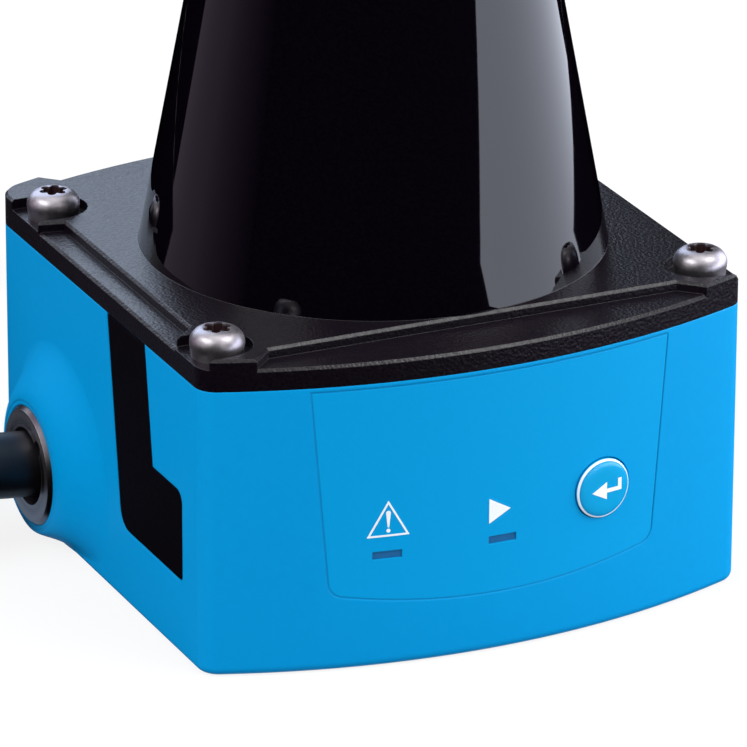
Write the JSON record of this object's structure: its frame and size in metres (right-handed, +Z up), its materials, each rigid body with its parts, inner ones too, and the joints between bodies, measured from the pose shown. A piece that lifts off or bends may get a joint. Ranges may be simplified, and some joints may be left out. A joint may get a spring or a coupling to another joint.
{
  "type": "lidar sensor",
  "caption": "Compact scanning laser range sensor with a bowed cast base, a tapered optics hood, an operating panel with a button, a side port cover and a coiled cable.",
  "frame": {"origin": "on the scan axis, at the underside of the base", "axes": "+Z up along the scan axis, -Y out of the operating panel, +X to the right seen from the panel"},
  "size_m": [0.1528, 0.1267, 0.079],
  "materials": {
    "blue_paint": "satin paint on a die casting",
    "black_moulding": "gloss hood, fine texture on the flange",
    "screw_steel": "stainless",
    "seal_rubber": "matte",
    "panel_blue": "satin",
    "lamp_window": "dark tinted",
    "button_blue": "satin",
    "cover_rubber": "matte",
    "board_green": "solder resist",
    "chip_black": "moulded",
    "nickel": "satin nickel",
    "cable_jacket": "satin black",
    "aluminium": "machined",
    "bearing_steel": "ground",
    "stator_iron": "laminated",
    "magnet": "sintered",
    "carrier_plastic": "moulded",
    "mirror_glass": "front coated",
    "lens_glass": "clear",
    "laser_brass": "turned",
    "flex_film": "polyimide",
    "tie_fabric": "woven"
  },
  "bodies": {
    "base": {"housing": "blue_paint", "optics_hood": "black_moulding", "hood_screws": "screw_steel", "board_screws": "screw_steel", "chassis_screws": "screw_steel", "bracket_screws": "screw_steel", "hood_seal": "seal_rubber", "cable_grommet": "seal_rubber", "front_panel": "panel_blue", "fault_light_pipe": "lamp_window", "ready_light_pipe": "lamp_window", "main_board": "board_green", "front_board": "board_green", "receiver_board": "board_green", "teach_switch": "chip_black", "status_leds": "chip_black", "encoder_sensor": "chip_black", "connector_insert": "chip_black", "gland_disc": "nickel", "usb_socket": "nickel", "cable": "cable_jacket", "cable_coil": "cable_jacket", "cable_tail": "cable_jacket", "connector_body": "cable_jacket", "chassis_plate": "aluminium", "bearing_tube": "aluminium", "lower_bearing": "bearing_steel", "upper_bearing": "bearing_steel", "stator": "stator_iron", "optics_bracket": "carrier_plastic", "receiver_lens": "lens_glass", "laser_tube": "laser_brass", "flex_cable": "flex_film", "coil_tie": "tie_fabric"},
    "rotor": {"rotor_bell": "bearing_steel", "rotor_magnet": "magnet", "motor_shaft": "bearing_steel", "encoder_disc": "nickel", "mirror_carrier": "carrier_plastic", "scan_mirror": "mirror_glass"},
    "teach_button": {"teach_button": "button_blue"},
    "usb_cover": {"usb_cover": "cover_rubber"},
    "connector_nut": {"connector_nut": "nickel"}
  },
  "joints": [
    {"name": "mirror_spin", "type": "hinge", "parent": "base", "child": "rotor", "pos_m": [0, 0, 0.03], "axis": [0, 0, 1], "continuous": true},
    {"name": "teach_button_press", "type": "slide", "parent": "base", "child": "teach_button", "axis": [0, 1, 0], "range_m": [0, 0.00035], "stiffness_N_per_m": 400},
    {"name": "usb_cover_swing", "type": "hinge", "parent": "base", "child": "usb_cover", "pos_m": [-0.0303, -0.0057, 0.03085], "axis": [0, 1, 0], "range_deg": [0, 105]},
    {"name": "connector_nut_turn", "type": "hinge", "parent": "base", "child": "connector_nut", "pos_m": [-0.0177, 0.0885, 0.0072], "axis": [1, 0, 0], "continuous": true}
  ]
}
